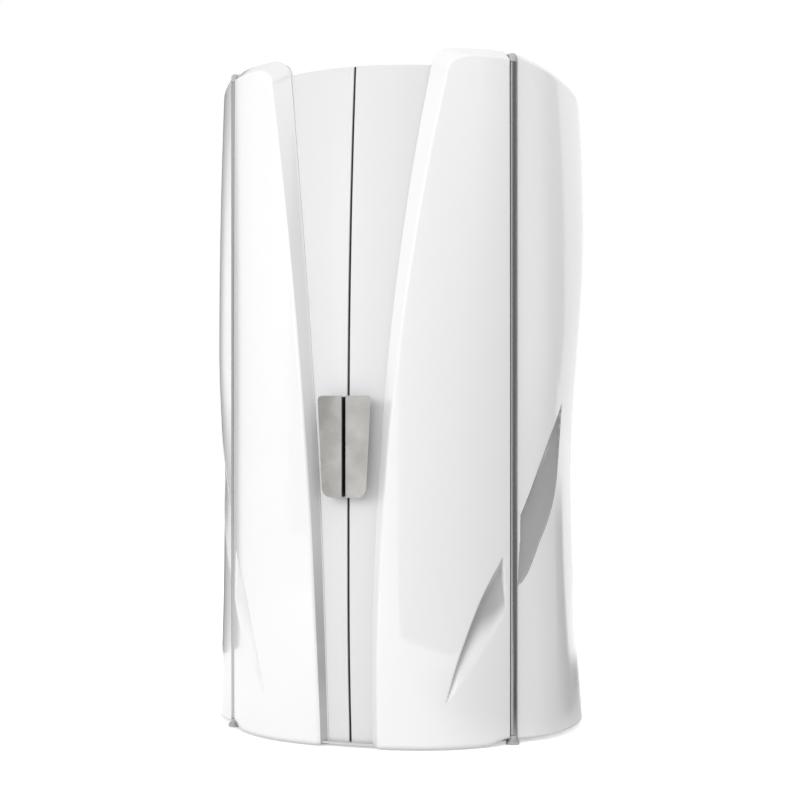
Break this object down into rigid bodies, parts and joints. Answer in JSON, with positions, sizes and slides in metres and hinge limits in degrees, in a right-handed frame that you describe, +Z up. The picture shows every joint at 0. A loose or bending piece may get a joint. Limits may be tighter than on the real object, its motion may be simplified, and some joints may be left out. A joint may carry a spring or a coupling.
{
  "type": "vertical tanning booth",
  "caption": "Round stand-up tanning cabin with two hinged bowed front doors, moulded wings, upright grip handles, lamp-lined walls, platform and a roof exhaust fan.",
  "frame": {"origin": "on the floor, on the cabin's vertical axis, under the middle levelling foot", "axes": "+Z up, front (the door seam) towards -Y, +X to the right seen from the front"},
  "size_m": [1.3388, 1.345, 2.33],
  "materials": {
    "leaf_panel": "satin white sheet",
    "moulded_white": "satin white moulding",
    "seal_rubber": "matte",
    "frame_paint": "grey powder coat",
    "reflector_metal": "polished sheet",
    "lamp_glass": "white coated tube",
    "holder_plastic": "moulded",
    "clear_acrylic": "clear, polished",
    "handle_metal": "satin, warm grey",
    "chrome_trim": "polished",
    "post_metal": "satin anodised",
    "bracket_metal": "light grey paint",
    "base_paint": "light grey paint",
    "feet_plastic": "moulded",
    "platform_plastic": "textured moulding",
    "mat_rubber": "studded",
    "ceiling_plastic": "satin moulding",
    "duct_metal": "galvanised look",
    "fan_plastic": "moulded",
    "motor_paint": "grey paint",
    "grip_rubber": "soft sleeve",
    "display_glass": "dark window",
    "button_green": "moulded",
    "button_red": "moulded",
    "button_blue": "moulded"
  },
  "bodies": {
    "cabin": {"side_shell_right": "moulded_white", "cabin_jamb_right": "frame_paint", "side_shell_left": "moulded_white", "cabin_jamb_left": "frame_paint", "hinge_brackets": "bracket_metal", "pivot_feet": "bracket_metal", "rear_cover": "moulded_white", "base_plate": "base_paint", "levelling_feet": "feet_plastic", "platform": "platform_plastic", "floor_mat": "mat_rubber", "frame_uprights": "frame_paint", "top_ring": "frame_paint", "roof_panel": "base_paint", "ceiling_pan": "ceiling_plastic", "exhaust_collar": "duct_metal", "fan_shroud": "fan_plastic", "fan_motor": "motor_paint", "fan_guard": "chrome_trim", "hand_grips": "grip_rubber", "speaker_grilles": "fan_plastic", "reflector_rear": "reflector_metal", "lamps_rear": "lamp_glass", "lamp_holders_rear": "holder_plastic", "shield_rear": "clear_acrylic", "control_panel": "fan_plastic", "display_window": "display_glass", "ballast_plate": "duct_metal", "ballasts": "motor_paint", "terminal_box": "ceiling_plastic", "mains_gland": "feet_plastic"},
    "door_right": {"door_panel_right": "leaf_panel", "door_seal_right": "seal_rubber", "door_wing_right": "moulded_white", "door_frame_right": "frame_paint", "door_reflector_right": "reflector_metal", "door_lamps_right": "lamp_glass", "door_lamp_holders_right": "holder_plastic", "door_shield_right": "clear_acrylic", "door_handle_right": "handle_metal", "door_inner_pull_right": "chrome_trim", "hinge_post_right": "post_metal"},
    "door_left": {"door_panel_left": "leaf_panel", "door_seal_left": "seal_rubber", "door_wing_left": "moulded_white", "door_frame_left": "frame_paint", "door_reflector_left": "reflector_metal", "door_lamps_left": "lamp_glass", "door_lamp_holders_left": "holder_plastic", "door_shield_left": "clear_acrylic", "door_handle_left": "handle_metal", "door_inner_pull_left": "chrome_trim", "hinge_post_left": "post_metal"},
    "fan_rotor": {"fan_rotor": "fan_plastic"},
    "start_button": {"start_button": "button_green"},
    "stop_button": {"stop_button": "button_red"},
    "fan_button": {"fan_button": "button_blue"}
  },
  "joints": [
    {"name": "door_right_hinge", "type": "hinge", "parent": "cabin", "child": "door_right", "pos_m": [0.50537, -0.41511, 0], "axis": [0, 0, 1], "range_deg": [0, 95]},
    {"name": "door_left_hinge", "type": "hinge", "parent": "cabin", "child": "door_left", "pos_m": [-0.50537, -0.41511, 0], "axis": [0, 0, 1], "range_deg": [-95, 0]},
    {"name": "fan_spin", "type": "hinge", "parent": "cabin", "child": "fan_rotor", "pos_m": [0, 0, 2.18], "axis": [0, 0, 1], "continuous": true},
    {"name": "start_button_press", "type": "slide", "parent": "cabin", "child": "start_button", "axis": [0.9135, -0.4067, 0], "range_m": [0, 0.0025], "stiffness_N_per_m": 400},
    {"name": "stop_button_press", "type": "slide", "parent": "cabin", "child": "stop_button", "axis": [0.9135, -0.4067, 0], "range_m": [0, 0.0025], "stiffness_N_per_m": 400},
    {"name": "fan_button_press", "type": "slide", "parent": "cabin", "child": "fan_button", "axis": [0.9135, -0.4067, 0], "range_m": [0, 0.0025], "stiffness_N_per_m": 400}
  ]
}
